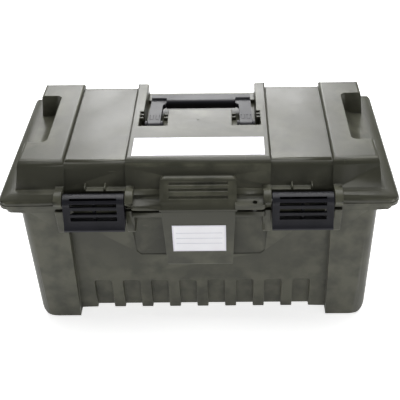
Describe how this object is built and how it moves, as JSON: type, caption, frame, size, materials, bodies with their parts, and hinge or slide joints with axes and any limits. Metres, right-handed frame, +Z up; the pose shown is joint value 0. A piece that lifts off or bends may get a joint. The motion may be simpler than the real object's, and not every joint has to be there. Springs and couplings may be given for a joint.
{
  "type": "storage case",
  "caption": "Moulded plastic carry case for a sewer hose kit, with a hinged lid, two snap latches, a folding handle and a lift-out tray.",
  "frame": {"origin": "on the ground under the middle of the case's outer box, the feet's underside at z = 0", "axes": "+Z up, +X along the case's width, the latches face -Y"},
  "size_m": [0.56, 0.318, 0.2737],
  "materials": {
    "olive_plastic": "olive-grey moulded structural foam plastic, satin",
    "black_plastic": "black moulded plastic, satin gloss",
    "tray_plastic": "dark grey moulded plastic",
    "pin_steel": "zinc plated steel pin",
    "label_film": "white adhesive label film"
  },
  "bodies": {
    "base": {"base_tub": "olive_plastic", "lid_hinge_pin_left": "pin_steel", "lid_hinge_pin_right": "pin_steel", "front_label": "label_film"},
    "lid": {"lid_shell": "olive_plastic", "handle_clip_left": "black_plastic", "handle_clip_right": "black_plastic", "handle_pin_left": "pin_steel", "handle_pin_right": "pin_steel", "latch_pin_left": "pin_steel", "latch_pin_right": "pin_steel", "top_label": "label_film"},
    "handle": {"carry_handle": "black_plastic"},
    "latch_l": {"latch_left": "black_plastic"},
    "latch_r": {"latch_right": "black_plastic"},
    "tray_body": {"tray": "tray_plastic", "tray_pin_left": "pin_steel", "tray_pin_right": "pin_steel"},
    "tray_bail": {"tray_handle": "black_plastic"},
    "divider_fl": {"divider_front_left": "tray_plastic"},
    "divider_fr": {"divider_front_right": "tray_plastic"},
    "divider_rl": {"divider_rear_left": "tray_plastic"},
    "divider_rr": {"divider_rear_right": "tray_plastic"}
  },
  "joints": [
    {"name": "lid_hinge", "type": "hinge", "parent": "base", "child": "lid", "pos_m": [0, 0.1525, 0.22], "axis": [-1, 0, 0], "range_deg": [0, 100]},
    {"name": "handle_fold", "type": "hinge", "parent": "lid", "child": "handle", "pos_m": [0, 0.008, 0.26], "axis": [1, 0, 0], "range_deg": [0, 90]},
    {"name": "latch_left_swing", "type": "hinge", "parent": "lid", "child": "latch_l", "pos_m": [-0.145, -0.135, 0.227], "axis": [-1, 0, 0], "range_deg": [0, 90]},
    {"name": "latch_right_swing", "type": "hinge", "parent": "lid", "child": "latch_r", "pos_m": [0.145, -0.135, 0.227], "axis": [-1, 0, 0], "range_deg": [0, 90]},
    {"name": "tray_lift", "type": "slide", "parent": "base", "child": "tray_body", "axis": [0, 0, 1], "range_m": [0, 0.018]},
    {"name": "tray_handle_fold", "type": "hinge", "parent": "tray_body", "child": "tray_bail", "pos_m": [0, 0, 0.191], "axis": [1, 0, 0], "range_deg": [0, 90]},
    {"name": "divider_front_left_lift", "type": "slide", "parent": "tray_body", "child": "divider_fl", "axis": [0, 0, 1], "range_m": [0, 0.03]},
    {"name": "divider_front_right_lift", "type": "slide", "parent": "tray_body", "child": "divider_fr", "axis": [0, 0, 1], "range_m": [0, 0.03]},
    {"name": "divider_rear_left_lift", "type": "slide", "parent": "tray_body", "child": "divider_rl", "axis": [0, 0, 1], "range_m": [0, 0.03]},
    {"name": "divider_rear_right_lift", "type": "slide", "parent": "tray_body", "child": "divider_rr", "axis": [0, 0, 1], "range_m": [0, 0.03]}
  ]
}
